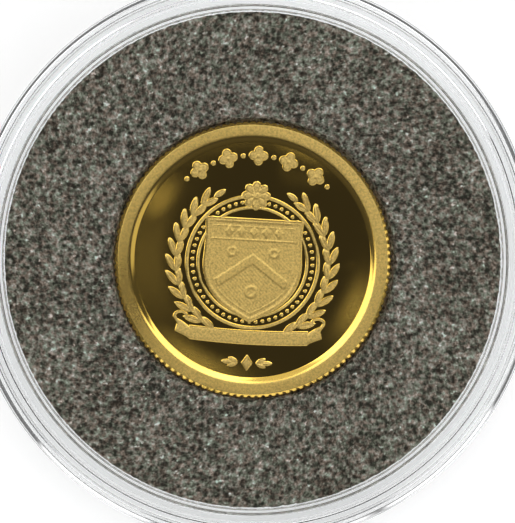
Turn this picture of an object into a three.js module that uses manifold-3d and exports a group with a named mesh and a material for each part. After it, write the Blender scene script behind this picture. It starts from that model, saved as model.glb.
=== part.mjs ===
// A round coin capsule of the ring-insert kind: two clear acrylic shells that press together
// around a die-cut foam ring, and the small proof coin that the ring grips.
//
// Millimetres, +Z up. The origin is the centre of the base's foot, on the surface that the
// closed capsule lies on with the coin's front facing up. +Y is the way the coin's front reads.

import * as THREE from "three";
import { mergeVertices } from "three/addons/utils/BufferGeometryUtils.js";
import Module from "manifold-3d";

const wasm = await Module();
wasm.setup();

// ---- Driving dimensions -------------------------------------------------------------------

const COIN_DIAMETER = 13.92; // a 1/25 ounce gold piece
const COIN_EDGE = 0.55; // thickness at the rim
const FIELD_RECESS = 0.09; // how far each mirror field lies below its rim
const REEDS = 120;
const REED_DEPTH = 0.05;
const COIN_TURN = -3.3; // degrees that the coin sits turned in its ring

const RING_DIAMETER = 25.0; // foam insert
const RING_THICKNESS = 3.14;

const FLOOR = 1.0; // thickness of each clear window
const STEP = 0.3; // height of the lid's raised window and depth of the recess under the base
const CHAMBER_HEIGHT = 3.3;
const WALL_SPIGOT = 0.72; // the base's inner wall
const WALL_SKIRT = 0.88; // the lid's outer wall
const SLIP = 0.08; // radial gap between spigot and skirt
const GAP = 0.06; // play between parts that rest on each other

const SEGMENTS = 64; // around the shells and the foam
const FILLET_STEPS = 2; // chords in a rounded corner

// ---- Sizes that follow --------------------------------------------------------------------

const ringRadius = RING_DIAMETER / 2;
const chamberRadius = ringRadius + 0.1;
const spigotRadius = chamberRadius + WALL_SPIGOT;
const skirtInner = spigotRadius + SLIP;
const outerRadius = skirtInner + WALL_SKIRT;
const edgeChamfer = 0.5; // on the outer corners of both shells
const windowRadius = chamberRadius + 0.2; // the lid's raised window spans the whole chamber
const recessRadius = windowRadius + 0.15; // the base's recess takes the window of a capsule below

const floorTop = STEP + FLOOR;
const ceiling = floorTop + CHAMBER_HEIGHT;
const lidShoulder = ceiling + FLOOR;
const lidTop = lidShoulder + STEP;
const parting = (floorTop + ceiling) / 2 - 0.25; // where the two flanges meet
const spigotTop = ceiling - 0.15;

const ringBottom = floorTop + GAP;
const ringTop = ringBottom + RING_THICKNESS;
const coinRadius = COIN_DIAMETER / 2;
const holeRadius = coinRadius + 0.09;
const coinTop = ringTop - 0.05; // the coin sits flush in the top of the ring's hole
const coinBottom = coinTop - COIN_EDGE;

// ---- Materials ----------------------------------------------------------------------------

const clearAcrylic = new THREE.MeshStandardMaterial({
  color: 0xf2f6f7, roughness: 0.05, metalness: 0, transparent: true, opacity: 0.3,
});
const greyFoam = new THREE.MeshStandardMaterial({ color: 0x5d5a55, roughness: 0.9, metalness: 0 });
const gold = new THREE.MeshStandardMaterial({ color: 0xd8b04c, roughness: 0.25, metalness: 1 });

// ---- Shape helpers ------------------------------------------------------------------------

// Corners are [radius, height] or [radius, height, fillet]. Each fillet becomes a short arc.
function filleted(corners) {
  const points = [];
  corners.forEach(([r, z, fillet = 0], i) => {
    const here = new THREE.Vector2(r, z);
    if (!fillet) {
      points.push(here);
      return;
    }
    const [before, after] = [corners.at(i - 1), corners[(i + 1) % corners.length]];
    const back = new THREE.Vector2(before[0] - r, before[1] - z).normalize();
    const ahead = new THREE.Vector2(after[0] - r, after[1] - z).normalize();
    const half = Math.acos(THREE.MathUtils.clamp(back.dot(ahead), -1, 1)) / 2;
    const start = here.clone().addScaledVector(back, fillet / Math.tan(half));
    const end = here.clone().addScaledVector(ahead, fillet / Math.tan(half));
    const middle = back.clone().add(ahead).normalize();
    const centre = here.clone().addScaledVector(middle, fillet / Math.sin(half));
    const from = Math.atan2(start.y - centre.y, start.x - centre.x);
    let sweep = Math.atan2(end.y - centre.y, end.x - centre.x) - from;
    sweep -= 2 * Math.PI * Math.round(sweep / (2 * Math.PI));
    for (let k = 0; k <= FILLET_STEPS; k++) {
      const angle = from + (sweep * k) / FILLET_STEPS;
      points.push(new THREE.Vector2(
        centre.x + fillet * Math.cos(angle), centre.y + fillet * Math.sin(angle),
      ));
    }
  });
  return points;
}

// Revolves a profile round +Z. A profile that is clear of the axis is closed on itself.
function turned(corners, segments = SEGMENTS) {
  const points = filleted(corners);
  if (points[0].x > 0) points.push(points[0].clone());
  return new THREE.LatheGeometry(points, segments).rotateX(Math.PI / 2);
}

function prism(shape, bottom, top) {
  const geometry = new THREE.ExtrudeGeometry(shape, {
    depth: top - bottom, bevelEnabled: false, curveSegments: 5,
  });
  return geometry.translate(0, 0, bottom);
}

function solid(geometry) {
  const bare = geometry.clone();
  bare.deleteAttribute("normal");
  bare.deleteAttribute("uv");
  const merged = mergeVertices(bare, 1e-4);
  return new wasm.Manifold(new wasm.Mesh({
    numProp: 3,
    vertProperties: merged.attributes.position.array,
    triVerts: new Uint32Array(merged.index.array),
  }));
}

function geometryOf(manifold) {
  const mesh = manifold.getMesh();
  const geometry = new THREE.BufferGeometry();
  geometry.setAttribute("position", new THREE.BufferAttribute(mesh.vertProperties, 3));
  geometry.setIndex(new THREE.BufferAttribute(mesh.triVerts, 1));
  const flat = geometry.toNonIndexed();
  flat.computeVertexNormals();
  return flat;
}

function piece(name, geometry, material) {
  const mesh = new THREE.Mesh(geometry, material);
  mesh.name = name;
  return mesh;
}

// ---- The two clear shells -----------------------------------------------------------------

function baseShell() {
  return turned([
    [0, STEP],
    [recessRadius, STEP],
    [recessRadius + 0.1, 0, 0.06],
    [outerRadius - edgeChamfer, 0, 0.2],
    [outerRadius, edgeChamfer, 0.2],
    [outerRadius, parting - GAP / 2, 0.08],
    [spigotRadius, parting - GAP / 2],
    [spigotRadius, spigotTop - 0.25],
    [spigotRadius - 0.18, spigotTop],
    [chamberRadius, spigotTop, 0.08],
    [chamberRadius - 0.04, floorTop, 0.2],
    [0, floorTop],
  ]);
}

function lidShell() {
  return turned([
    [0, ceiling],
    [skirtInner, ceiling, 0.1],
    [skirtInner, parting + 0.25],
    [skirtInner + 0.12, parting + GAP / 2],
    [outerRadius, parting + GAP / 2, 0.08],
    [outerRadius, lidShoulder - edgeChamfer, 0.2],
    [outerRadius - edgeChamfer, lidShoulder, 0.2],
    [windowRadius, lidShoulder],
    [windowRadius - 0.1, lidTop, 0.06],
    [0, lidTop],
  ]);
}

// ---- The foam ring ------------------------------------------------------------------------

function foamRing() {
  return turned([
    [holeRadius, ringBottom, 0.12],
    [ringRadius, ringBottom, 0.12],
    [ringRadius, ringTop, 0.18],
    [holeRadius, ringTop, 0.22],
  ]);
}

// ---- The coin -----------------------------------------------------------------------------
// Both faces carry a generic device: a plain heater shield on a laurel wreath in front, a
// compass star at the back. The solids here are its flat plateaux.

const rimInner = 6.0;
const fieldTop = coinTop - FIELD_RECESS;
const fieldBottom = coinBottom + FIELD_RECESS;
const reliefTop = fieldTop + 0.06;
const rooted = 0.05; // how deep a plateau is sunk into the field that it stands on

// The blank with its rims. Every other facet line of the edge is drawn in, which makes reeds.
function blank() {
  const bevel = 0.1;
  const geometry = turned([
    [0, fieldBottom],
    [rimInner, fieldBottom],
    [rimInner + 0.1, coinBottom],
    [coinRadius - 0.2, coinBottom],
    [coinRadius, coinBottom + bevel],
    [coinRadius, coinTop - bevel],
    [coinRadius - 0.2, coinTop],
    [rimInner + 0.1, coinTop],
    [rimInner, fieldTop],
    [0, fieldTop],
  ], 2 * REEDS);
  const places = geometry.attributes.position;
  const step = Math.PI / REEDS;
  for (let i = 0; i < places.count; i++) {
    const [x, y] = [places.getX(i), places.getY(i)];
    const radius = Math.hypot(x, y);
    const odd = Math.abs(Math.round(Math.atan2(y, x) / step)) % 2 === 1;
    if (odd && radius > coinRadius - 0.01) {
      const drawnIn = (radius - REED_DEPTH) / radius;
      places.setXY(i, x * drawnIn, y * drawnIn);
    }
  }
  return solid(geometry);
}

function plateau(shape, x = 0, y = 0, turn = 0) {
  const geometry = prism(shape, fieldTop - rooted, reliefTop);
  geometry.rotateZ(turn).translate(x, y, 0);
  return solid(geometry);
}

function heaterShield(halfWidth, top, tip) {
  const shape = new THREE.Shape();
  const shoulder = top - 0.45 * (top - tip);
  shape.moveTo(-halfWidth, top);
  shape.bezierCurveTo(-halfWidth, shoulder, -halfWidth, tip + 1.3, 0, tip);
  shape.bezierCurveTo(halfWidth, tip + 1.3, halfWidth, shoulder, halfWidth, top);
  return shape;
}

function leaf(length, width) {
  const shape = new THREE.Shape();
  shape.moveTo(0, 0);
  shape.quadraticCurveTo(width, length / 2, 0, length);
  shape.quadraticCurveTo(-width, length / 2, 0, 0);
  return shape;
}

// Two laurel branches that rise from the bottom of the wreath, a pair of leaves at each node.
function wreath() {
  const [wreathRadius, wreathDrop, nodes] = [3.98, -0.15, 9];
  const leaves = [];
  for (const side of [-1, 1]) {
    for (let k = 0; k < nodes; k++) {
      const angle = THREE.MathUtils.degToRad(-62 + (118 * k) / (nodes - 1));
      const x = side * wreathRadius * Math.cos(angle);
      const y = wreathDrop + wreathRadius * Math.sin(angle);
      for (const splay of [-0.38, 0.38]) {
        leaves.push(plateau(leaf(0.95, 0.3), x, y, side * angle + splay));
      }
    }
  }
  return leaves;
}

function ribbon() {
  const [halfLength, halfHeight, drop, rise] = [3.35, 0.4, -3.95, 0.16];
  const shape = new THREE.Shape();
  shape.moveTo(-halfLength, drop + halfHeight);
  shape.quadraticCurveTo(0, drop + halfHeight - 2 * rise, halfLength, drop + halfHeight);
  shape.lineTo(halfLength, drop - halfHeight);
  shape.quadraticCurveTo(0, drop - halfHeight - 2 * rise, -halfLength, drop - halfHeight);
  return plateau(shape);
}

function annulus(inner, outer) {
  const wide = turned([
    [inner, fieldTop - rooted], [outer, fieldTop - rooted], [outer, reliefTop], [inner, reliefTop],
  ]);
  return solid(wide);
}

// Five small bosses in an arc over the device, and three under it.
function bosses() {
  const disc = (radius) => new THREE.Shape().absarc(0, 0, radius, 0, 2 * Math.PI);
  const over = [-34, -17, 0, 17, 34].map((degrees) => {
    const angle = THREE.MathUtils.degToRad(degrees);
    return plateau(disc(0.48), 5.3 * Math.sin(angle), 5.3 * Math.cos(angle));
  });
  const under = [-0.9, 0, 0.9].map((x) => plateau(disc(0.3), x, -5.2));
  return [...over, ...under];
}

function compassStar() {
  const shape = new THREE.Shape();
  for (let k = 0; k < 16; k++) {
    const radius = [4.6, 1.3, 3.1, 1.3][k % 4];
    const angle = (k * Math.PI) / 8;
    shape[k ? "lineTo" : "moveTo"](radius * Math.sin(angle), radius * Math.cos(angle));
  }
  return solid(prism(shape, fieldBottom - 0.06, fieldBottom + rooted));
}

function coin() {
  const front = [
    plateau(heaterShield(2.45, 2.1, -3.05)), annulus(3.1, 3.28), ribbon(), ...wreath(), ...bosses(),
  ];
  return geometryOf([...front, compassStar()].reduce((all, next) => all.add(next), blank()));
}

// ---- Assembly -----------------------------------------------------------------------------

const capsule = new THREE.Group();
const coinMesh = piece("coin", coin(), gold);
coinMesh.rotation.z = THREE.MathUtils.degToRad(COIN_TURN);
capsule.add(
  piece("capsule_base", baseShell(), clearAcrylic),
  piece("foam_ring", foamRing(), greyFoam),
  coinMesh,
  piece("capsule_lid", lidShell(), clearAcrylic),
);

export default capsule;
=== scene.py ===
"""Looks for a round coin capsule: two clear acrylic shells, a charcoal foam ring and a small
proof gold coin with a generic device. Lengths are millimetres until a mesh is made, and metres
in the materials and the camera."""

import math

import bpy
import numpy as np
from mathutils.kdtree import KDTree
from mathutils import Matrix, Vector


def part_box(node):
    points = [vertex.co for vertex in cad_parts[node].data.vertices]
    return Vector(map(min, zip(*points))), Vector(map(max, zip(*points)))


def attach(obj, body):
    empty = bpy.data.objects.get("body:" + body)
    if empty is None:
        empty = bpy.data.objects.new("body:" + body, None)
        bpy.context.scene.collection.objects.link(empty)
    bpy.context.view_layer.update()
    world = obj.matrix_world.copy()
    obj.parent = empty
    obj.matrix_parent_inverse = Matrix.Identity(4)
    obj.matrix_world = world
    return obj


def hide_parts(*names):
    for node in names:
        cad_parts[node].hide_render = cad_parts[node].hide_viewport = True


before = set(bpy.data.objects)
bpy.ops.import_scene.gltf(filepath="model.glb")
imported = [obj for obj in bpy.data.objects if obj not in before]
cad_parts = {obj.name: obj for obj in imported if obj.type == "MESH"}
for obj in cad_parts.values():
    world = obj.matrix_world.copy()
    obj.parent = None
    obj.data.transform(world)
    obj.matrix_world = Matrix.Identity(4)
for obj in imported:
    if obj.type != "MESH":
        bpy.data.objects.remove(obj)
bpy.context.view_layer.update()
MM = 0.001


def node_box(name):
    """Lowest and highest corner of a CAD node, in millimetres."""
    low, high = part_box(name)
    return np.array(low) / MM, np.array(high) / MM


BASE_HIGH = node_box("capsule_base")[1]
LID_LOW, LID_HIGH = node_box("capsule_lid")
RING_LOW, RING_HIGH = node_box("foam_ring")
COIN_LOW, COIN_HIGH = node_box("coin")


# ---- Small helpers ------------------------------------------------------------------------

FAR = 1e9
ON_AXIS = 1e-6


def smooth(a, b, x):
    """0 below a, 1 above b, and a smooth rise between them. With a above b it is 1 below b and
    falls to 0 at a."""
    t = np.clip((x - a) / (b - a), 0.0, 1.0)
    return t * t * (3 - 2 * t)


def turns(count):
    """Equal steps of angle round a full circle."""
    return 2 * np.pi * np.arange(count) / count


def make_object(name, points, faces, smooth_angle=None):
    """A mesh object from points in millimetres and faces as lists or arrays of indices."""
    mesh = bpy.data.meshes.new(name)
    mesh.from_pydata((np.asarray(points) * MM).tolist(), [], [list(map(int, f)) for f in faces])
    mesh.validate()
    mesh.shade_smooth()
    if smooth_angle:
        mesh.set_sharp_from_angle(angle=math.radians(smooth_angle))
    obj = bpy.data.objects.new(name, mesh)
    bpy.context.scene.collection.objects.link(obj)
    return obj


def add_values(obj, name, values):
    """One number for each vertex, which a material reads by its name."""
    layer = obj.data.attributes.new(name, "FLOAT", "POINT")
    layer.data.foreach_set("value", np.asarray(values, np.float32))


def rounded(corners, steps=6):
    """The points of an outline of (radius, height, fillet) corners, each fillet drawn as an arc.
    A short edge at each end of an arc keeps the flats beside it flat when shaded smooth."""
    out = []
    for i, corner in enumerate(corners):
        here = np.array(corner[:2], float)
        fillet = corner[2] if len(corner) > 2 else 0.0
        if not fillet:
            out.append(here)
            continue
        back = np.array(corners[i - 1][:2], float) - here
        ahead = np.array(corners[(i + 1) % len(corners)][:2], float) - here
        back, ahead = back / np.linalg.norm(back), ahead / np.linalg.norm(ahead)
        half = math.acos(np.clip(back @ ahead, -1, 1)) / 2
        reach = fillet / math.tan(half)
        middle = (back + ahead) / np.linalg.norm(back + ahead)
        centre = here + middle * fillet / math.sin(half)
        start, end = here + back * reach, here + ahead * reach
        first = math.atan2(*(start - centre)[::-1])
        sweep = math.atan2(*(end - centre)[::-1]) - first
        sweep -= 2 * math.pi * round(sweep / (2 * math.pi))
        hold = 0.25 * fillet
        out.append(start + back * hold)
        for k in range(steps + 1):
            a = first + sweep * k / steps
            out.append(centre + fillet * np.array([math.cos(a), math.sin(a)]))
        out.append(end + ahead * hold)
    return out


def revolve(name, outline, segments=256, smooth_angle=35):
    """Turns an outline round +Z. It starts and ends on the axis."""
    points, rings, faces = [], [], []
    angle = turns(segments)
    for r, z in outline:
        if r < ON_AXIS:
            rings.append([len(points)] * segments)
            points.append((0.0, 0.0, z))
        else:
            rings.append(list(range(len(points), len(points) + segments)))
            points += list(zip(r * np.cos(angle), r * np.sin(angle), [z] * segments))
    for a, b in zip(rings, rings[1:]):
        for k in range(segments):
            j = (k + 1) % segments
            face = list(dict.fromkeys([a[k], a[j], b[j], b[k]]))
            if len(face) > 2:
                faces.append(face)
    return make_object(name, points, faces, smooth_angle)


# ---- Materials ----------------------------------------------------------------------------

# The colour sockets of a Mix node, which share their names with its number sockets.
MIX_COLOUR_A, MIX_COLOUR_B, MIX_COLOUR_OUT = 6, 7, 2
NOISE_MIDDLE = 0.5


class Nodes:
    """A thin wrapper that keeps the node tree of a new material or world readable."""

    def __init__(self, owner, output="ShaderNodeOutputMaterial"):
        self.owner = owner
        self.owner.use_nodes = True
        self.tree = self.owner.node_tree
        self.tree.nodes.clear()
        self.out = self.add(output)

    def add(self, kind, inputs=None, **settings):
        node = self.tree.nodes.new(kind)
        for key, value in settings.items():
            setattr(node, key, value)
        for key, value in (inputs or {}).items():
            self.put(node.inputs[key], value)
        return node

    def put(self, socket, value):
        if isinstance(value, bpy.types.NodeSocket):
            self.tree.links.new(value, socket)
        else:
            socket.default_value = value

    def noise(self, scale, detail=2.0, roughness=0.5):
        coords = self.add("ShaderNodeTexCoord").outputs["Object"]
        return self.add(
            "ShaderNodeTexNoise",
            {"Vector": coords, "Scale": scale, "Detail": detail, "Roughness": roughness},
        ).outputs["Fac"]

    def math(self, operation, a, b, clamp=False):
        node = self.add("ShaderNodeMath", operation=operation, use_clamp=clamp)
        self.put(node.inputs[0], a)
        self.put(node.inputs[1], b)
        return node.outputs[0]

    def swing(self, noise, amount):
        """A change up or down with a noise, by up to half of that amount."""
        return self.math("MULTIPLY", self.math("SUBTRACT", noise, NOISE_MIDDLE), amount)

    def remap(self, value, low, high, to_low, to_high, **settings):
        return self.add(
            "ShaderNodeMapRange",
            {"Value": value, "From Min": low, "From Max": high, "To Min": to_low,
             "To Max": to_high},
            **settings,
        ).outputs["Result"]

    def mix(self, factor, a, b, blend="MIX"):
        node = self.add("ShaderNodeMix", data_type="RGBA", blend_type=blend)
        self.put(node.inputs["Factor"], factor)
        self.put(node.inputs[MIX_COLOUR_A], a)
        self.put(node.inputs[MIX_COLOUR_B], b)
        return node.outputs[MIX_COLOUR_OUT]

    def ramp(self, value, stops):
        node = self.add("ShaderNodeValToRGB")
        self.put(node.inputs["Fac"], value)
        ramp = node.color_ramp
        while len(ramp.elements) < len(stops):
            ramp.elements.new(0.5)
        for element, (place, colour) in zip(ramp.elements, stops):
            element.position = place
            element.color = (*colour, 1.0)
        return node.outputs["Color"]

    def attribute(self, name):
        return self.add("ShaderNodeAttribute", attribute_name=name).outputs["Fac"]

    def bump(self, height, distance, strength):
        node = self.add(
            "ShaderNodeBump", {"Height": height, "Distance": distance, "Strength": strength}
        )
        return node.outputs["Normal"]

    def shader(self, **inputs):
        named = {key.replace("_", " "): value for key, value in inputs.items()}
        return self.add("ShaderNodeBsdfPrincipled", named)

    def finish(self, surface):
        self.put(self.out.inputs["Surface"], surface.outputs[0])
        return self.owner


def acrylic():
    """Clear moulded acrylic. Shadow rays, and light that has already struck a rough surface,
    pass straight through it, so that what it covers is lit without noise."""
    m = Nodes(bpy.data.materials.new("clear_acrylic"))
    flow = m.noise(260.0, detail=1.0)
    glass = m.shader(
        Base_Color=(0.985, 0.992, 0.995, 1.0), Roughness=0.0, IOR=1.49,
        Transmission_Weight=1.0, Normal=m.bump(flow, distance=0.000012, strength=0.25),
    )
    path = m.add("ShaderNodeLightPath")
    passed = m.add("ShaderNodeBsdfTransparent", {"Color": (0.97, 0.975, 0.98, 1.0)})

    def choose(output, otherwise, chosen):
        node = m.add("ShaderNodeMixShader")
        m.put(node.inputs[0], path.outputs[output])
        m.put(node.inputs[1], otherwise.outputs[0])
        m.put(node.inputs[2], chosen.outputs[0])
        return node

    bounced = choose("Is Singular Ray", passed, glass)
    seen = choose("Is Reflection Ray", glass, bounced)
    return m.finish(choose("Is Shadow Ray", seen, passed))


# Charcoal tones, from the painted shade in the cells to the painted glint on their walls.
FOAM_TONES = [
    (0.0, (0.034, 0.031, 0.0228)), (0.20, (0.094, 0.0855, 0.065)), (0.44, (0.226, 0.208, 0.165)),
    (0.72, (0.468, 0.446, 0.376)), (1.0, (0.90, 0.93, 0.88)),
]
FOAM_TONE_START = 0.112
# The share of the walls paints glint on the cell walls and shade in the cups; the last share paints
# scattered glints.
WALL_GLINT_SHARE, CELL_SHARE, GRAIN_SHARE, DRIFT_SHARE, PAINTED_GLINT_SHARE = 0.24, 0.26, 1.68, 0.14, 0.6
FOAM_WARM, FOAM_COOL = (1.0, 0.855, 0.825, 1.0), (0.87, 1.0, 0.93, 1.0)


def foam():
    """Skived cross-linked foam: cut cells as small cups. Its colour has painted shade in the cups,
    painted glints on their walls and scattered painted glints.
    """
    m = Nodes(bpy.data.materials.new("charcoal_foam"))
    wall_and_glint = m.attribute("wall_and_glint")
    fine = m.noise(4600.0)
    # Scattered bright specks, lifted towards the glint end of the tones: painted glints.
    painted_glint = m.remap(m.noise(3900.0, detail=1.0), 0.66, 0.80, 0.0, 1.0)
    # Paler on the cell walls and darker in the cups: painted glint and painted shade.
    tone = m.math("MULTIPLY", wall_and_glint, WALL_GLINT_SHARE)
    for more in (
        m.math("MULTIPLY", m.attribute("cell"), CELL_SHARE),
        m.swing(fine, GRAIN_SHARE),
        m.math("MULTIPLY", m.attribute("drift"), DRIFT_SHARE),
        m.math("MULTIPLY", painted_glint, PAINTED_GLINT_SHARE),
    ):
        tone = m.math("ADD", tone, more)
    tone = m.math("ADD", tone, FOAM_TONE_START, clamp=True)
    colour = m.ramp(tone, FOAM_TONES)
    hue = m.noise(4200.0, detail=1.0)
    colour = m.mix(m.remap(hue, 0.50, 0.62, 0.0, 1.0), colour, FOAM_WARM, "MULTIPLY")
    colour = m.mix(m.remap(hue, 0.48, 0.38, 0.0, 1.0), colour, FOAM_COOL, "MULTIPLY")
    skin = m.shader(
        Base_Color=colour, Roughness=m.remap(wall_and_glint, 0.2, 0.9, 0.95, 0.75),
        Specular_IOR_Level=0.12, Normal=m.bump(fine, distance=0.00005, strength=0.8),
    )
    return m.finish(skin)


MIRROR_GOLD, FROSTED_GOLD = (0.92, 0.59, 0.105, 1.0), (0.93, 0.655, 0.20, 1.0)
SHADED_GOLD = (0.30, 0.19, 0.06, 1.0)
MIRROR_ROUGHNESS, HAZE_ROUGHNESS, FROST_ROUGHNESS, ROUGHNESS_SWING = 0.03, 0.31, 0.47, 0.1


def gold():
    """Struck gold: polished mirror field, frosted device and a satin rim."""
    m = Nodes(bpy.data.materials.new("proof_gold"))
    frost = m.attribute("frost")
    grain = m.noise(26000.0, roughness=0.7)
    speckle = m.noise(9500.0, roughness=0.6)
    polish = m.remap(m.attribute("haze"), 0.0, 1.0, MIRROR_ROUGHNESS, HAZE_ROUGHNESS)
    rough = m.add("ShaderNodeMix", {"Factor": frost, "A": polish, "B": FROST_ROUGHNESS})
    rough = m.math("ADD", rough.outputs["Result"], m.swing(grain, ROUGHNESS_SWING), clamp=True)
    colour = m.mix(frost, MIRROR_GOLD, FROSTED_GOLD)
    shade = m.math("MULTIPLY", frost, m.remap(speckle, 0.32, 0.60, 0.5, 0.0))
    colour = m.mix(shade, colour, SHADED_GOLD)
    relief = m.bump(grain, distance=0.000006, strength=m.remap(frost, 0.0, 1.0, 0.0, 0.8))
    return m.finish(m.shader(Base_Color=colour, Metallic=1.0, Roughness=rough, Normal=relief))


def paper():
    """The white sweep, which glows a little, as a light table does."""
    m = Nodes(bpy.data.materials.new("white_sweep"))
    sheet = m.shader(
        Base_Color=m.mix(m.noise(40.0), (0.90, 0.90, 0.90, 1.0), (0.93, 0.93, 0.93, 1.0)),
        Roughness=0.9, Specular_IOR_Level=0.1,
        Emission_Color=(1.0, 1.0, 1.0, 1.0), Emission_Strength=0.45,
    )
    return m.finish(sheet)


ACRYLIC, FOAM, GOLD = acrylic(), foam(), gold()


# ---- The clear shells ---------------------------------------------------------------------

RING_PLAY, SKIRT_PLAY, SPIGOT_WALL = 0.1, 0.08, 0.72
STEP, WINDOW, CHAMFER, PARTING_GAP = 0.3, 1.0, 0.5, 0.06
OUTER, RING_OUTER = BASE_HIGH[0], RING_HIGH[0]
CHAMBER = RING_OUTER + RING_PLAY
SPIGOT = CHAMBER + SPIGOT_WALL
SKIRT = SPIGOT + SKIRT_PLAY
FLOOR_TOP = STEP + WINDOW
SHOULDER = LID_HIGH[2] - STEP
CEILING = SHOULDER - WINDOW
PARTING_BASE = LID_LOW[2] - PARTING_GAP
STEP_SLOPE = 0.1


def base_shell():
    """The cup, with a recess under its floor and a flange outside its wall. The wall's top is
    cut back outside, as a lead for the skirt, and its inside has a slight draft."""
    recess, lead_height, lead_width, draft = CHAMBER + 0.35, 0.25, 0.18, 0.04
    top = BASE_HIGH[2]
    outline = [
        (0, STEP), (recess, STEP, 0.04), (recess + STEP_SLOPE, 0, 0.05),
        (OUTER - CHAMFER, 0, 0.2), (OUTER, CHAMFER, 0.2), (OUTER, PARTING_BASE, 0.07),
        (SPIGOT, PARTING_BASE, 0.03), (SPIGOT, top - lead_height, 0.06),
        (SPIGOT - lead_width, top, 0.06), (CHAMBER, top, 0.07),
        (CHAMBER - draft, FLOOR_TOP, 0.18), (0, FLOOR_TOP),
    ]
    return revolve("capsule_base_shell", rounded(outline))


def lid_shell():
    """The raised round window and the skirt, which opens a little at its mouth."""
    window, mouth_height, mouth_width = CHAMBER + 0.2, 0.22, 0.12
    low, high = LID_LOW[2], LID_HIGH[2]
    outline = [
        (0, CEILING), (SKIRT, CEILING, 0.1), (SKIRT, low + mouth_height, 0.05),
        (SKIRT + mouth_width, low, 0.04), (OUTER, low, 0.07), (OUTER, SHOULDER - CHAMFER, 0.2),
        (OUTER - CHAMFER, SHOULDER, 0.2), (window, SHOULDER, 0.04),
        (window - STEP_SLOPE, high, 0.06), (0, high),
    ]
    return revolve("capsule_lid_shell", rounded(outline))


# ---- The foam ring ------------------------------------------------------------------------

FOAM_SEGMENTS = 1000
FOAM_MARGIN, FOAM_TOP_MARGIN = 0.03, 0.02
FOAM_SWELL, SHELF_BELOW_COIN, SHELF_SLOPE = 0.16, 0.12, 0.12
TOP_SPACING, SIDE_SPACING, TOP_DEPTH = 0.068, 0.14, 0.36

# The cells' size, and as shares of it the floor and the rim of a cup and the width of a wall.
CELL_SIZE, CUP_FLOOR, CUP_RIM, WALL_WIDTH = 0.2, 0.15, 0.75, 0.28
PIT_DEPTH, SKIN_DROP, WALL_RISE, RAGGED_RISE = 0.055, 0.012, 0.01, 0.012
CELL_SEED, DRIFT_SEED, PATCH_SEED, RAGGED_SEED, LOOSE_SEED = 7, 3, 4, 5, 6


def cell_pattern(points, size, seed):
    """A 3-D cell pattern at the points: how far each is from its cell's middle and from a wall,
    as shares of the size, and the cell's own random number."""
    rng = np.random.default_rng(seed)
    low = np.floor(points.min(0) / size).astype(int) - 1
    high = np.ceil(points.max(0) / size).astype(int) + 1
    grid = np.stack(np.meshgrid(*[np.arange(a, b) for a, b in zip(low, high)], indexing="ij"), -1)
    seeds = (grid.reshape(-1, 3) + rng.uniform(0.0, 1.0, (grid.size // 3, 3))) * size
    flat = np.hypot(seeds[:, 0], seeds[:, 1])
    reach = np.hypot(points[:, 0], points[:, 1])
    seeds = seeds[(flat > reach.min() - 2 * size) & (flat < reach.max() + 2 * size)]
    own = rng.uniform(0.0, 1.0, len(seeds))
    tree = KDTree(len(seeds))
    for i, s in enumerate(seeds):
        tree.insert(s, i)
    tree.balance()
    near, far, number = (np.empty(len(points)) for _ in range(3))
    for i, p in enumerate(points):
        (_, first, d1), (_, _, d2) = tree.find_n(p, 2)
        near[i], far[i], number[i] = d1, d2, own[first]
    return near / size, (far - near) / size, number


def soft_noise(points, scale, seed):
    """Smooth value noise from -1 to 1 with features of about scale."""
    table_size, strides = 4096, np.array([1, 57, 2473])
    rng = np.random.default_rng(seed)
    table = rng.uniform(-1.0, 1.0, table_size)
    cell = points / scale
    base = np.floor(cell).astype(int)
    part = smooth(0, 1, cell - base)
    total = np.zeros(len(points))
    for corner in np.ndindex(2, 2, 2):
        value = table[((base + np.array(corner)) @ strides) % table_size]
        weight = np.prod(np.where(np.array(corner) == 1, part, 1 - part), axis=1)
        total += value * weight
    return total


def foam_section(inner, outer, low, high):
    """The ring's section as closely spaced points, and the way out of the foam at each."""
    shelf = COIN_LOW[2] - SHELF_BELOW_COIN
    outline = rounded([
        (inner - FOAM_SWELL, low, 0.12), (outer, low, 0.12), (outer, high, 0.16),
        (inner, high, 0.34), (inner, shelf, 0.06), (inner - FOAM_SWELL, shelf - SHELF_SLOPE, 0.06),
    ], steps=5)
    outline.append(outline[0])
    path = []
    for a, b in zip(outline, outline[1:]):
        on_top = min(a[1], b[1]) > high - TOP_DEPTH
        spacing = TOP_SPACING if on_top else SIDE_SPACING
        count = max(1, round(np.linalg.norm(b - a) / spacing))
        path += [a + (b - a) * k / count for k in range(count)]
    path = np.array(path)
    ahead = np.roll(path, -1, 0) - np.roll(path, 1, 0)
    ahead /= np.linalg.norm(ahead, axis=1)[:, None]
    return path, np.stack([ahead[:, 1], -ahead[:, 0]], 1)


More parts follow.
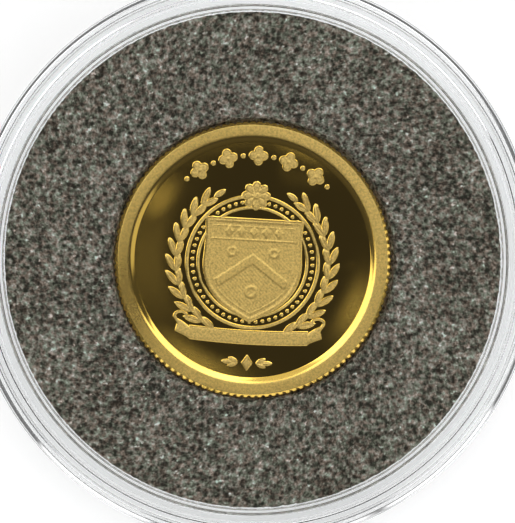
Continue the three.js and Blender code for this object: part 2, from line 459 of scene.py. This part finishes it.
def foam_ring():
    inner = COIN_HIGH[0] + FOAM_MARGIN
    path, out = foam_section(
        inner, RING_OUTER - FOAM_MARGIN, RING_LOW[2], RING_HIGH[2] - FOAM_TOP_MARGIN
    )
    rows, angle = len(path), turns(FOAM_SEGMENTS)
    r, z = np.repeat(path[:, 0], FOAM_SEGMENTS), np.repeat(path[:, 1], FOAM_SEGMENTS)
    nr, nz = np.repeat(out[:, 0], FOAM_SEGMENTS), np.repeat(out[:, 1], FOAM_SEGMENTS)
    c, s = np.tile(np.cos(angle), rows), np.tile(np.sin(angle), rows)
    points = np.stack([r * c, r * s, z], 1)
    normal = np.stack([nr * c, nr * s, nz], 1)

    # The hole is a little loose at the coin's upper right and hugs it at its lower left.
    slack, wobble, hug_width = 0.05, 0.03, 1.6
    loose = slack * (1 + c * 0.75 + s * 0.66)
    loose += wobble * soft_noise(points * [1, 1, 0], 1.1, LOOSE_SEED)
    hug = 1 - smooth(inner, inner + hug_width, r)
    points[:, 0] += c * loose * hug
    points[:, 1] += s * loose * hug

    depth, gap, number = cell_pattern(points, CELL_SIZE, CELL_SEED)
    cup = 1 - smooth(CUP_FLOOR, CUP_RIM, depth)
    wall_and_glint = 1 - smooth(0.0, WALL_WIDTH, gap)
    drift = 0.6 * soft_noise(points, 0.62, DRIFT_SEED)
    drift += 0.4 * soft_noise(points + 31.0, 1.7, PATCH_SEED)
    ragged = soft_noise(points + 11.0, 0.45, RAGGED_SEED)
    pit = PIT_DEPTH * cup * (0.4 + 0.6 * number)
    push = -pit - SKIN_DROP + WALL_RISE * wall_and_glint + RAGGED_RISE * ragged
    points = points + normal * push[:, None]

    index = np.arange(len(points)).reshape(rows, FOAM_SEGMENTS)
    after, beside = np.roll(index, -1, 0), np.roll(index, -1, 1)
    faces = np.stack([index, beside, np.roll(after, -1, 1), after], -1).reshape(-1, 4)
    ring = make_object("foam_insert", points, faces)
    add_values(ring, "cell", number)
    # Painted glint on the cell walls and painted shade in the cups, for the foam's colour; the
    # walls also set its roughness.
    add_values(ring, "wall_and_glint", np.clip(wall_and_glint * 0.8 + (1 - cup) * 0.4, 0, 1))
    add_values(ring, "drift", drift)
    return ring


# ---- Flat shapes for the coin's device, as signed distances -------------------------------


def circle(x, y, cx, cy, radius):
    return np.hypot(x - cx, y - cy) - radius


def hoop(x, y, cx, cy, radius, width):
    return np.abs(circle(x, y, cx, cy, radius)) - width / 2


def lozenge(x, y, cx, cy, half_width, half_height, scale):
    """Near enough a distance to a lozenge's edge, once it is scaled."""
    return (np.abs(x - cx) / half_width + np.abs(y - cy) / half_height - 1) * scale


def bead_ring(x, y, middle, radius, count, bead):
    """Distance to the nearest of a ring of beads round the point 0, middle."""
    step = 2 * np.pi / count
    at = np.round(np.arctan2(x, y - middle) / step) * step
    return circle(x, y, radius * np.sin(at), middle + radius * np.cos(at), bead)


def edge_distance(x, y, start, end):
    """Distance to a straight edge."""
    (ax, ay), (bx, by) = start, end
    ex, ey = bx - ax, by - ay
    t = np.clip(((x - ax) * ex + (y - ay) * ey) / (ex * ex + ey * ey), 0, 1)
    return np.hypot(x - ax - ex * t, y - ay - ey * t)


def polygon(x, y, corners):
    """Signed distance to a closed polygon, negative inside."""
    corners = np.asarray(corners, float)
    best, inside = np.full(x.shape, FAR), np.zeros(x.shape, bool)
    for start, end in zip(corners, np.roll(corners, -1, 0)):
        best = np.minimum(best, edge_distance(x, y, start, end))
        (ax, ay), (bx, by) = start, end
        crosses = (ay > y) != (by > y)
        with np.errstate(divide="ignore", invalid="ignore"):
            inside ^= crosses & (x < (bx - ax) * (y - ay) / (by - ay) + ax)
    return best * np.where(inside, -1, 1)


def strip(x, y, points, width):
    """Distance to a line of points, less half a width."""
    best = np.full(x.shape, FAR)
    for start, end in zip(points, points[1:]):
        best = np.minimum(best, edge_distance(x, y, start, end))
    return best - width / 2


def bezier(a, b, c, d, count=14):
    t = np.linspace(0, 1, count)[:, None]
    a, b, c, d = (np.array(p, float) for p in (a, b, c, d))
    return (1 - t) ** 3 * a + 3 * t * (1 - t) ** 2 * b + 3 * t * t * (1 - t) * c + t ** 3 * d


def shield_outline(half_width, top, tip):
    """A heater shield: sides that pull in slightly and then curve to the tip."""
    waist = (-half_width, top - 0.42 * (top - tip))
    upper = bezier((-half_width, top), (-half_width + 0.14, top - 0.7), waist, waist, 8)
    lower = bezier(waist, (waist[0], tip + 1.35), (-1.45, tip + 0.72), (0, tip))
    left = np.vstack([upper[:-1], lower])
    right = left[::-1] * np.array([-1, 1])
    return np.vstack([left, right[1:]])


# ---- The coin's relief --------------------------------------------------------------------

FROST_STARTS, FROST_FULL = 0.003, 0.012


def raised(distance, height, bevel):
    """A plateau of that height inside a shape, with a rounded edge as wide as the bevel."""
    return height * smooth(0, bevel, -distance)


def leaf(x, y, foot, lean, size, height, bevel, vein, vein_width):
    """Height of a pointed leaf of that length and width. lean is measured from +Y, clockwise.
    Along its vein it keeps only that share of its height."""
    length, width = size
    dx, dy = x - foot[0], y - foot[1]
    along = dx * math.sin(lean) + dy * math.cos(lean) - length / 2
    across = dx * math.cos(lean) - dy * math.sin(lean)
    a, b = length / 2, width / 2
    radius = (a * a + b * b) / (2 * b)
    edge = np.maximum(np.hypot(along, across + radius - b), np.hypot(along, across - radius + b))
    groove = vein + (1 - vein) * smooth(0.0, vein_width, np.abs(across))
    return raised(edge - radius, height, bevel) * groove


class Relief:
    """Height over the field, and frosting, at each point of one side of the coin."""

    def __init__(self, x, y):
        self.x, self.y = x, y
        self.height, self.frost = np.zeros(x.shape), np.zeros(x.shape)

    def lay(self, surface):
        """Lays a raised and frosted surface over the relief so far."""
        self.height = np.maximum(self.height, surface)
        self.frost = np.maximum(self.frost, smooth(FROST_STARTS, FROST_FULL, surface))

    def plateau(self, distance, height, bevel):
        """Lays a plateau over the relief so far."""
        self.lay(raised(distance, height, bevel))

    def raise_by(self, distance, height, bevel):
        """Raises what is inside a shape, or sinks it where the height is negative."""
        self.height += raised(distance, height, bevel)


def lay_circles(relief):
    """Two thin rings with a row of beads between them."""
    x, y, middle = relief.x, relief.y, -0.13
    relief.plateau(hoop(x, y, 0, middle, 3.30, width=0.17), height=0.045, bevel=0.08)
    relief.plateau(hoop(x, y, 0, middle, 2.74, width=0.14), height=0.04, bevel=0.07)
    relief.plateau(bead_ring(x, y, middle, 3.02, count=56, bead=0.095), height=0.05, bevel=0.09)


def lay_branches(relief):
    """Two laurel branches: a stem, leaves in pairs along it, and a leaf at the tip."""
    x, y, radius, middle = relief.x, relief.y, 3.86, -0.2
    first, pitch, pairs, tip, stem_ends = -64, 10.9, 11, 56, (-66, 50)
    outer_leaf, inner_leaf, tip_leaf = (1.10, 0.33), (0.98, 0.33), (0.8, 0.32)
    outer_splay, inner_splay = 0.40, -0.30

    def on_branch(side, a):
        return side * radius * math.cos(a), middle + radius * math.sin(a)

    for side in (-1, 1):
        stem = [on_branch(side, a) for a in np.radians(np.linspace(*stem_ends, 40))]
        relief.plateau(strip(x, y, stem, width=0.1), height=0.035, bevel=0.05)
        for k in range(pairs):
            a = math.radians(first + pitch * k)
            for splay, size in ((outer_splay, outer_leaf), (inner_splay, inner_leaf)):
                relief.lay(leaf(
                    x, y, on_branch(side, a), side * (splay - a), size,
                    height=0.066, bevel=0.085, vein=0.35, vein_width=0.07,
                ))
        a = math.radians(tip)
        relief.lay(leaf(
            x, y, on_branch(side, a), -side * a, tip_leaf,
            height=0.06, bevel=0.14, vein=0.62, vein_width=0.05,
        ))


def lay_shield(relief):
    """A heater shield, which covers the circles behind it, and what it carries."""
    x, y = relief.x, relief.y
    outer = polygon(x, y, shield_outline(2.5, 2.06, -3.19))
    relief.height *= 1 - smooth(0.04, -0.04, outer) * smooth(0.0, -0.1, outer)
    relief.plateau(outer, height=0.052, bevel=0.1)
    relief.plateau(np.abs(outer + 0.16) - 0.13, height=0.078, bevel=0.09)
    ground, ground_edge = 0.05, -0.2
    fillet = raised(np.abs(outer + 0.42) - 0.045, height=0.014, bevel=0.05)
    relief.lay(fillet + ground * (outer <= ground_edge))

    # The chief: a line, and a row of lozenges over it.
    line, row, pitch = 0.98, 1.38, 0.62
    relief.raise_by(np.maximum(np.abs(y - line) - 0.055, outer + 0.3), height=0.022, bevel=0.06)
    for k in range(-2, 3):
        charge = lozenge(x, y, pitch * k, row, 0.26, 0.34, scale=0.2)
        relief.raise_by(charge, height=0.028, bevel=0.09)

    # The chevron. The last factor is nearly the cosine of its slope.
    apex, slope, half_band, squared = 0.028, 0.72, 0.25, 0.81
    chevron = np.abs(y - apex + slope * np.abs(x)) * squared - half_band
    relief.raise_by(np.maximum(chevron, outer + 0.46), height=0.024, bevel=0.09)

    # Three roundels with sunk middles, and fine hatching on the bare ground.
    for cx, cy, radius in ((-1.05, 0.36, 0.30), (1.05, 0.36, 0.30), (0.0, -1.62, 0.36)):
        relief.raise_by(circle(x, y, cx, cy, radius), height=0.026, bevel=0.09)
        relief.raise_by(circle(x, y, cx, cy, radius * 0.52), height=-0.014, bevel=0.07)
    hatch_pitch, hatch_depth, bare = 0.2, 0.0022, 0.0535
    hatch = np.sin(2 * np.pi * (x + y) / hatch_pitch) * hatch_depth
    relief.height += hatch * smooth(-0.46, -0.52, outer) * (relief.height < bare)


def lay_rosette(relief):
    """An eight-petalled rosette with a button, on top of the shield."""
    x, y, cx, cy, radius = relief.x, relief.y, 0.0, 3.2, 0.76
    lobe = np.abs(np.cos(4 * np.arctan2(x - cx, y - cy)))
    petals = circle(x, y, cx, cy, 0.0) - radius * (0.78 + 0.22 * lobe)
    relief.lay(raised(petals, height=0.07, bevel=0.2) * (0.75 + 0.25 * smooth(0.1, 0.5, lobe)))
    relief.plateau(circle(x, y, cx, cy, 0.24), height=0.085, bevel=0.12)


def lay_scroll(relief):
    """A blank scroll with raised edges and furled ends. It covers what lies behind it."""
    x, y = relief.x, relief.y
    level, curve, half_length = -3.92, 0.01225, 3.0
    off = np.abs(y - level - curve * x * x)
    band = np.maximum(off - 0.36, np.abs(x) - half_length)
    relief.height *= 1 - smooth(0.05, -0.03, band)
    relief.plateau(band, height=0.058, bevel=0.09)
    edges = np.maximum(np.abs(off - 0.29) - 0.04, np.abs(x) - half_length + 0.08)
    relief.plateau(edges, height=0.072, bevel=0.05)
    for side in (-1, 1):
        tail = polygon(x, y, [
            (side * 2.86, -3.62), (side * 3.34, -3.28), (side * 3.86, -3.02), (side * 3.62, -3.42),
            (side * 3.72, -3.80), (side * 3.2, -4.02), (side * 2.86, -4.2),
        ])
        relief.plateau(tail, height=0.042, bevel=0.1)
        curl = [
            (side * (3.45 + 0.30 * math.cos(t)), -3.02 + 0.22 * math.sin(t))
            for t in np.linspace(-0.6, 3.6, 16)
        ]
        relief.plateau(strip(x, y, curl, width=0.13), height=0.05, bevel=0.06)


def lay_border(relief):
    """Five quatrefoils with pellets between and beside them, over the device."""
    x, y, reach, radius = relief.x, relief.y, 5.22, 0.50
    for degrees in (-34, -17, 0, 17, 34):
        a = math.radians(degrees)
        cx, cy = reach * math.sin(a), reach * math.cos(a)
        lobe = np.abs(np.cos(2 * (np.arctan2(x - cx, y - cy) - a)))
        foils = circle(x, y, cx, cy, 0.0) - radius * (0.66 + 0.34 * lobe)
        relief.plateau(foils, height=0.06, bevel=0.12)
        relief.plateau(circle(x, y, cx, cy, 0.14), height=0.078, bevel=0.08)
    for degrees in (-42.5, -25.5, -8.5, 8.5, 25.5, 42.5):
        a = math.radians(degrees)
        pellet = circle(x, y, reach * math.sin(a), reach * math.cos(a), 0.13)
        relief.plateau(pellet, height=0.05, bevel=0.1)


def lay_sprigs(relief):
    """A lozenge between two sprigs of three leaves, under the scroll."""
    x, y, level, width = relief.x, relief.y, -5.2, 0.26
    relief.plateau(lozenge(x, y, 0, level, 0.30, 0.44, scale=0.25), height=0.07, bevel=0.12)
    for side in (-1, 1):
        for lean, length, foot in ((1.15, 0.62, 0.42), (1.9, 0.62, 0.42), (1.52, 0.72, 0.62)):
            relief.lay(leaf(
                x, y, (side * foot, level), side * lean, (length, width),
                height=0.06, bevel=0.12, vein=0.7, vein_width=0.05,
            ))


def front_relief(x, y):
    """The front: a shield on a beaded circle, between laurel branches over a blank scroll."""
    relief = Relief(x, y)
    for lay in (
        lay_circles, lay_branches, lay_shield, lay_rosette, lay_scroll, lay_border, lay_sprigs,
    ):
        lay(relief)
    return relief


def back_relief(x, y):
    """The back: an eight-pointed compass star in a beaded circle."""
    relief = Relief(x, y)
    relief.plateau(bead_ring(x, y, 0, 5.3, count=72, bead=0.15), height=0.05, bevel=0.12)
    for first, long in ((math.pi / 4, 3.3), (0.0, 4.6)):
        star = np.full(x.shape, FAR)
        for k in range(4):
            a = first + k * math.pi / 2
            along = x * math.sin(a) + y * math.cos(a)
            across = np.abs(x * math.cos(a) - y * math.sin(a))
            star = np.minimum(star, np.maximum((across + along / long - 1) * 0.9, -along))
        relief.plateau(star, height=0.07, bevel=0.5)
    relief.plateau(hoop(x, y, 0, 0, 2.0, width=0.16), height=0.05, bevel=0.08)
    return relief


# ---- The coin -----------------------------------------------------------------------------

COIN_RADIUS = COIN_HIGH[0]
COIN_TURN = math.radians(-3.3)
REEDS, PER_REED, REED_DEPTH = 120, 12, 0.055
GROOVE_IN, GROOVE_OUT = (0.25, 0.48), (0.62, 0.88)
RIM_INNER, RECESS, FIELD_INSET, FIELD_DROP = 5.95, 0.09, 0.02, 0.012
DISH_RISE, DISH_EDGE_FALL, SKIN = 0.0112, 0.0048, 0.004
RIM_OUTER, BACK_RIM_OUTER = 6.775, 6.70
REEDED_RADIUS, REEDED_DROP = COIN_RADIUS - 0.005, 0.15

# The rim of each side as rows of (radius, depth under its own face, share of the reeds' depth,
# frost): from the field out on the front, and from the reeds in on the back.
FRONT_RIM = [
    (RIM_INNER, RECESS - 0.002, 0, 0.08), (RIM_INNER + 0.06, RECESS - 0.018, 0, 0.15),
    (RIM_INNER + 0.14, 0.040, 0, 0.2), (RIM_INNER + 0.22, 0.014, 0, 0.3),
    (RIM_INNER + 0.29, 0.003, 0, 0.6), (RIM_INNER + 0.36, 0.0, 0, 0.78),
    (RIM_OUTER - 0.025, 0.0, 0, 0.78), (RIM_OUTER - 0.005, 0.0, 0, 0.5),
    (RIM_OUTER, 0.0025, 0.02, 0.3), (RIM_OUTER + 0.12, 0.0775, 0.6, 0.3),
    (RIM_OUTER + 0.16, 0.105, 1, 0.4), (REEDED_RADIUS, REEDED_DROP, 1, 0.4),
]
BACK_RIM = [
    (REEDED_RADIUS, REEDED_DROP, 1, 0.4), (COIN_RADIUS - 0.03, 0.09, 0.9, 0.2),
    (BACK_RIM_OUTER, 0.002, 0, 0.5), (BACK_RIM_OUTER - 0.2, 0.0, 0, 0.6),
    (RIM_INNER + 0.2, 0.0, 0, 0.5), (RIM_INNER + 0.1, 0.03, 0, 0.1), (RIM_INNER, RECESS, 0, 0.1),
]

# Arcs of the field whose polish has softened: the bearing of the middle and the spread in
# degrees, the radius where the arc starts, and how soft it is.
HAZE_ARCS = [
    (265, 60, 3.4, 0.55), (300, 19, 4.0, 0.8), (205, 34, 4.3, 0.9),
    (112, 24, 4.1, 0.88), (20, 22, 4.7, 0.8), (-10, 55, 4.6, 0.5),
]
HAZE_FADE = 1.5
BROAD_HAZE_SEED, FINE_HAZE_SEED = 21, 22
BACK_HAZE_SHIFT = 9.0

# The rim's satin is paler at its upper right and more polished at its left. Through its colour this
# paints light on the upper right and shade on the left, and its roughness changes too. The columns:
# the bearing, the spread and the change.
SATIN_AND_PAINTED_LIGHT = [(42, 42, 0.22), (252, 28, -0.34)]


def near_bearing(x, y, middle, spread):
    """1 on a bearing, in degrees from +Y towards +X, fading away to both sides of it."""
    off = (np.degrees(np.arctan2(x, y)) - middle + 180) % 360 - 180
    return np.exp(-((off / spread) ** 2))


def haze_of(x, y):
    """Where the polish of the mirror field has softened, in broad arcs towards the rim."""
    flat = np.stack([x, y, 0 * x], 1)
    patches = 0.7 * soft_noise(flat + 5.0, 2.3, BROAD_HAZE_SEED)
    patches += 0.3 * soft_noise(flat, 1.0, FINE_HAZE_SEED)
    out = np.hypot(x, y)
    worn = 0.5 * smooth(-0.05, 0.75, patches) * smooth(2.5, 5.2, out)
    for middle, spread, start, depth in HAZE_ARCS:
        arc = near_bearing(x, y, middle, spread) * smooth(start, start + HAZE_FADE, out)
        worn = np.maximum(worn, depth * arc)
    return worn


def disc_points(count, radius):
    """A square grid of count by count cells bent onto a disc, and its edge, in order."""
    u = np.linspace(-1, 1, count + 1)
    a, b = np.meshgrid(u, u, indexing="ij")
    near_x = np.abs(a) >= np.abs(b)
    major, minor = np.where(near_x, a, b), np.where(near_x, b, a)
    with np.errstate(divide="ignore", invalid="ignore"):
        turn = np.where(major == 0, 0, minor / major) * math.pi / 4
    x = radius * major * np.where(near_x, np.cos(turn), np.sin(turn))
    y = radius * major * np.where(near_x, np.sin(turn), np.cos(turn))
    index = np.arange((count + 1) ** 2).reshape(count + 1, count + 1)
    sides = index[-1, :-1], index[::-1, -1][:-1], index[0, ::-1][:-1], index[:-1, 0]
    faces = np.stack([index[:-1, :-1], index[1:, :-1], index[1:, 1:], index[:-1, 1:]], -1)
    return x.ravel(), y.ravel(), np.concatenate(sides), faces.reshape(-1, 4)


def coin():
    edge_count = REEDS * PER_REED
    top, bottom = COIN_HIGH[2], COIN_LOW[2]
    inner = RIM_INNER - FIELD_INSET
    points, frost, haze, faces = [], [], [], []

    # The front field, slightly dished, and its device.
    x, y, edge, quads = disc_points(edge_count // 4, inner)
    relief = front_relief(x, y)
    out = np.hypot(x, y) / inner
    dish = DISH_RISE * out ** 2 - DISH_EDGE_FALL * smooth(0.75, 1.0, out)
    z = np.minimum(top - RECESS - FIELD_DROP + dish + relief.height, top - SKIN)
    points.append(np.stack([x, y, z], 1))
    frost.append(relief.frost)
    haze.append(haze_of(x, y))
    faces += quads.tolist()
    angle = np.arctan2(y[edge], x[edge])

    # The rim, the bevels and the reeded edge, from the front field to the back field.
    reed = np.arange(edge_count) % PER_REED / PER_REED
    groove = smooth(*GROOVE_IN, reed) * (1 - smooth(*GROOVE_OUT, reed))
    rim_x, rim_y, satin_and_painted_light = np.cos(angle), np.sin(angle), np.ones(edge_count)
    # Painted light at the rim's upper right and painted shade at its left, together with a real
    # change of roughness.
    for bearing, spread, change in SATIN_AND_PAINTED_LIGHT:
        satin_and_painted_light += change * near_bearing(rim_x, rim_y, bearing, spread)
    rows = [(radius, top - drop, share, dull) for radius, drop, share, dull in FRONT_RIM]
    rows += [(radius, bottom + drop, share, dull) for radius, drop, share, dull in BACK_RIM]
    last, total = edge, len(points[0])
    for radius, level, share, dull in rows:
        r = radius - REED_DEPTH * share * groove
        points.append(np.stack([r * rim_x, r * rim_y, np.full(edge_count, level)], 1))
        frost.append(dull * satin_and_painted_light)
        haze.append(np.zeros(edge_count))
        ring = total + np.arange(edge_count)
        quads = np.stack([last, np.roll(last, -1), np.roll(ring, -1), ring], -1)
        faces += quads[:, ::-1].tolist()
        last, total = ring, total + edge_count

    # The back field, on a grid half as fine.
    x, y, edge, quads = disc_points(edge_count // 8, inner)
    relief = back_relief(-x, y)
    z = np.maximum(bottom + RECESS - relief.height, bottom + SKIN)
    points.append(np.stack([x, y, z], 1))
    frost.append(relief.frost)
    haze.append(haze_of(x + BACK_HAZE_SHIFT, y))
    faces += (quads[:, ::-1] + total).tolist()
    edge = edge + total
    for k in range(len(edge)):
        a, b = edge[k], edge[(k + 1) % len(edge)]
        f = [last[(2 * k + i) % edge_count] for i in range(3)]
        faces += [[a, f[0], f[1]], [a, f[1], b], [b, f[1], f[2]]]

    points = np.vstack(points)
    cos, sin = math.cos(COIN_TURN), math.sin(COIN_TURN)
    turned = points.copy()
    turned[:, 0] = cos * points[:, 0] - sin * points[:, 1]
    turned[:, 1] = sin * points[:, 0] + cos * points[:, 1]
    piece = make_object("gold_coin", turned, faces)
    add_values(piece, "frost", np.concatenate(frost))
    add_values(piece, "haze", np.concatenate(haze))
    return piece


# ---- Assembly -----------------------------------------------------------------------------

for piece, node, body, slot, material in (
    (base_shell(), "capsule_base", "base", "clear_acrylic", ACRYLIC),
    (foam_ring(), "foam_ring", "ring", "foam", FOAM),
    (coin(), "coin", "coin", "gold", GOLD),
    (lid_shell(), "capsule_lid", "lid", "clear_acrylic", ACRYLIC),
):
    piece.data.materials.append(material)
    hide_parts(node)
    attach(piece, body)


# ---- Floor, light and camera --------------------------------------------------------------

# The tent's brightness by the sine of the elevation.
TENT = [
    (0.0, 1.0), (0.10, 0.55), (0.24, 0.24), (0.50, 0.16), (0.75, 0.12), (0.97, 0.055), (1.0, 0.045),
]
TENT_SCALE = 4.0

# Soft boxes: azimuth from +Y towards +X and elevation, reach, all in degrees, and brightness.
# Two large ones stand behind with a glow between them, a weaker one at the right, and a low
# row of four round the right and the front. Each is at full brightness inside BOX_INSIDE of
# its reach, and dark outside BOX_OUTSIDE of it.
SOFT_BOXES = [
    (-60, 62, 16, 2.85), (30, 60, 16, 3.2), (-15, 60, 20, 1.0), (105, 45, 16, 0.8),
    (176, 22, 20, 1.4), (87, 32, 12, 1.7), (137, 32, 14, 1.7), (215, 32, 13, 1.7),
]
BOX_INSIDE, BOX_OUTSIDE = 0.85, 1.1

FLOOR_HALF = 3000.0
CAMERA_DISTANCE, FRAME_WIDTH, SENSOR_WIDTH = 0.25, 0.0263, 36.0
CAMERA_CENTRE = (0.00024, -0.00009)
CLIP_NEAR, CLIP_FAR = 0.001, 20.0


def stage_floor():
    corners = [(-1, -1, 0), (1, -1, 0), (1, 1, 0), (-1, 1, 0)]
    floor = make_object("floor", np.array(corners) * FLOOR_HALF, [(0, 1, 2, 3)])
    floor.data.materials.append(paper())


def light_tent():
    """A white tent that is brightest near the floor and dark overhead, where the lens looks in,
    with its soft boxes."""
    m = Nodes(bpy.data.worlds.new("tent"), "ShaderNodeOutputWorld")
    way = m.add("ShaderNodeTexCoord").outputs["Generated"]
    up = m.add("ShaderNodeSeparateXYZ", {"Vector": way}).outputs["Z"]
    tone = m.ramp(up, [(place, (value / TENT_SCALE,) * 3) for place, value in TENT])
    total = m.math("MULTIPLY", tone, TENT_SCALE)
    for azimuth, elevation, reach, strength in SOFT_BOXES:
        azimuth, elevation = math.radians(azimuth), math.radians(elevation)
        middle = (
            math.sin(azimuth) * math.cos(elevation), math.cos(azimuth) * math.cos(elevation),
            math.sin(elevation),
        )
        near = m.add("ShaderNodeVectorMath", {0: way, 1: middle}, operation="DOT_PRODUCT")
        dark = math.cos(math.radians(reach * BOX_OUTSIDE))
        full = math.cos(math.radians(reach * BOX_INSIDE))
        glow = m.remap(
            near.outputs["Value"], dark, full, 0.0, strength, interpolation_type="SMOOTHSTEP"
        )
        total = m.math("ADD", total, glow)
    bpy.context.scene.world = m.finish(m.add("ShaderNodeBackground", {"Strength": total}))


def camera():
    """Straight down on the closed capsule, so close that its clear rim runs out of the frame."""
    data = bpy.data.cameras.new("camera")
    data.sensor_width = SENSOR_WIDTH
    data.lens = SENSOR_WIDTH * CAMERA_DISTANCE / FRAME_WIDTH
    data.clip_start, data.clip_end = CLIP_NEAR, CLIP_FAR
    cam = bpy.data.objects.new("camera", data)
    bpy.context.scene.collection.objects.link(cam)
    cam.location = (*CAMERA_CENTRE, RING_HIGH[2] * MM + CAMERA_DISTANCE)
    bpy.context.scene.camera = cam


stage_floor()
light_tent()
camera()
bpy.context.scene.view_settings.view_transform = "Standard"

# Light is trapped in the clear walls for many turns before it comes out again.
bounces = bpy.context.scene.cycles
bounces.max_bounces, bounces.glossy_bounces, bounces.transmission_bounces = 32, 24, 24
